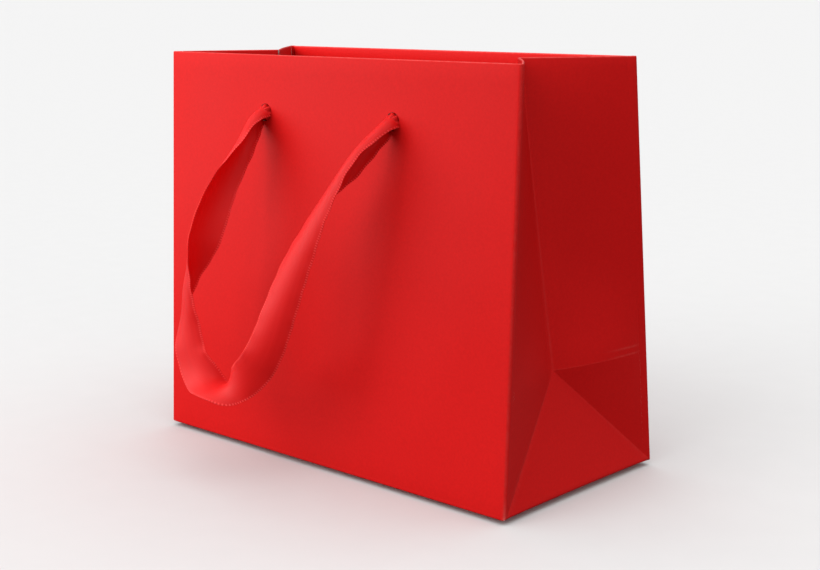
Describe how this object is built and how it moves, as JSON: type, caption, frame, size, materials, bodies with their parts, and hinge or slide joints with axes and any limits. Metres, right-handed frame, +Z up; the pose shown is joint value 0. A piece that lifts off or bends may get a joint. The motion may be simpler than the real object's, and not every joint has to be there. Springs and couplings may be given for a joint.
{
  "type": "gift bag",
  "caption": "Small landscape paper gift bag with folded side gussets, a boxed base, a reinforced rim and satin ribbon loop handles.",
  "frame": {"origin": "centre of the base on the surface that the standing bag rests on", "axes": "+X to the right along the front panel, +Y from the front panel to the back panel, +Z up"},
  "size_m": [0.216, 0.1729, 0.1842],
  "materials": {
    "red_paper": "matt laminated, soft sheen",
    "white_paper": "uncoated",
    "grey_board": "uncoated",
    "satin_ribbon": "satin"
  },
  "bodies": {
    "base": {"base_outer_flap": "red_paper", "base_inner_flap": "red_paper", "base_left_flap": "white_paper", "base_right_flap": "white_paper", "base_board": "grey_board"},
    "back_lower_wall": {"back_lower_panel": "red_paper"},
    "back_wall": {"back_panel": "red_paper", "back_top_board": "grey_board", "back_top_hem": "red_paper", "side_seam_tab": "white_paper", "back_left_knot": "satin_ribbon", "back_right_knot": "satin_ribbon"},
    "right_gusset_rear_half": {"right_gusset_back": "red_paper", "right_gusset_back_hem": "red_paper"},
    "right_gusset_fore_half": {"right_gusset_front": "red_paper", "right_gusset_front_hem": "red_paper"},
    "front_wall": {"front_panel": "red_paper", "front_top_board": "grey_board", "front_top_hem": "red_paper", "front_left_knot": "satin_ribbon", "front_right_knot": "satin_ribbon"},
    "left_gusset_rear_half": {"left_gusset_back": "red_paper", "left_gusset_back_hem": "red_paper"},
    "left_gusset_fore_half": {"left_gusset_front": "red_paper", "left_gusset_front_hem": "red_paper"},
    "right_bottom_fold": {"right_bottom_triangle": "red_paper"},
    "left_bottom_fold": {"left_bottom_triangle": "red_paper"},
    "right_corner_fold": {"right_corner_triangle": "red_paper"},
    "left_corner_fold": {"left_corner_triangle": "red_paper"},
    "front_handle": {"front_handle_ribbon": "satin_ribbon"},
    "back_handle": {"back_handle_ribbon": "satin_ribbon"}
  },
  "joints": [
    {"name": "base_fold", "type": "hinge", "parent": "base", "child": "back_lower_wall", "pos_m": [0, 0.05227, 0.00395], "axis": [1, 0, 0], "range_deg": [0, 80.5], "deforming": ["back_handle_ribbon"]},
    {"name": "back_wall_fold", "type": "hinge", "parent": "back_lower_wall", "child": "back_wall", "pos_m": [0, 0.0479, 0.05275], "axis": [-1, 0, 0], "range_deg": [0, 172]},
    {"name": "right_back_crease", "type": "hinge", "parent": "back_wall", "child": "right_gusset_rear_half", "pos_m": [0.10707, 0.03861, 0.115], "axis": [0, 0.0963, -0.9954], "range_deg": [0, 63.5]},
    {"name": "right_centre_crease", "type": "hinge", "parent": "right_gusset_rear_half", "child": "right_gusset_fore_half", "pos_m": [0.0913, -0.00267, 0.115], "axis": [0.0284, -0.0224, 0.9993], "range_deg": [0, 127]},
    {"name": "right_front_crease", "type": "hinge", "parent": "right_gusset_fore_half", "child": "front_wall", "pos_m": [0.10707, -0.04381, 0.115], "axis": [0, -0.0516, -0.9987], "range_deg": [0, 63.5]},
    {"name": "right_bottom_crease", "type": "hinge", "parent": "base", "child": "right_bottom_fold", "pos_m": [0.1064, 0, 0.00305], "axis": [0, -1, 0], "range_deg": [0, 67.4]},
    {"name": "right_corner_crease", "type": "hinge", "parent": "back_lower_wall", "child": "right_corner_fold", "pos_m": [0.10707, 0.04712, 0.027], "axis": [0, 0.0963, -0.9954], "range_deg": [0, 67], "deforming": ["right_corner_triangle"]},
    {"name": "left_back_crease", "type": "hinge", "parent": "back_wall", "child": "left_gusset_rear_half", "pos_m": [-0.10707, 0.03861, 0.115], "axis": [0, -0.0963, 0.9954], "range_deg": [0, 63.5]},
    {"name": "left_centre_crease", "type": "hinge", "parent": "left_gusset_rear_half", "child": "left_gusset_fore_half", "pos_m": [-0.0913, -0.00267, 0.115], "axis": [0.0284, 0.0224, -0.9993], "range_deg": [0, 127]},
    {"name": "left_bottom_crease", "type": "hinge", "parent": "base", "child": "left_bottom_fold", "pos_m": [-0.1064, 0, 0.00305], "axis": [0, 1, 0], "range_deg": [0, 67.4]},
    {"name": "left_corner_crease", "type": "hinge", "parent": "back_lower_wall", "child": "left_corner_fold", "pos_m": [-0.10707, 0.04712, 0.027], "axis": [0, -0.0963, 0.9954], "range_deg": [0, 67], "deforming": ["left_corner_triangle"]},
    {"name": "front_handle_swing", "type": "hinge", "parent": "front_wall", "child": "front_handle", "pos_m": [0, -0.04584, 0.15805], "axis": [-1, 0, 0], "range_deg": [0, 110]},
    {"name": "back_handle_swing", "type": "hinge", "parent": "back_wall", "child": "back_handle", "pos_m": [0, 0.03871, 0.1581], "axis": [1, 0, 0], "range_deg": [0, 110]}
  ],
  "couplings": [
    {"joint": "back_wall_fold", "follows": "base_fold", "ratio": 2.1366},
    {"joint": "right_back_crease", "follows": "base_fold", "ratio": 0.78882},
    {"joint": "right_centre_crease", "follows": "base_fold", "ratio": 1.5776},
    {"joint": "right_front_crease", "follows": "base_fold", "ratio": 0.78882},
    {"joint": "right_bottom_crease", "follows": "base_fold", "ratio": 0.83727},
    {"joint": "right_corner_crease", "follows": "base_fold", "ratio": 0.8323},
    {"joint": "left_back_crease", "follows": "base_fold", "ratio": 0.78882},
    {"joint": "left_centre_crease", "follows": "base_fold", "ratio": 1.5776},
    {"joint": "left_bottom_crease", "follows": "base_fold", "ratio": 0.83727},
    {"joint": "left_corner_crease", "follows": "base_fold", "ratio": 0.8323}
  ]
}
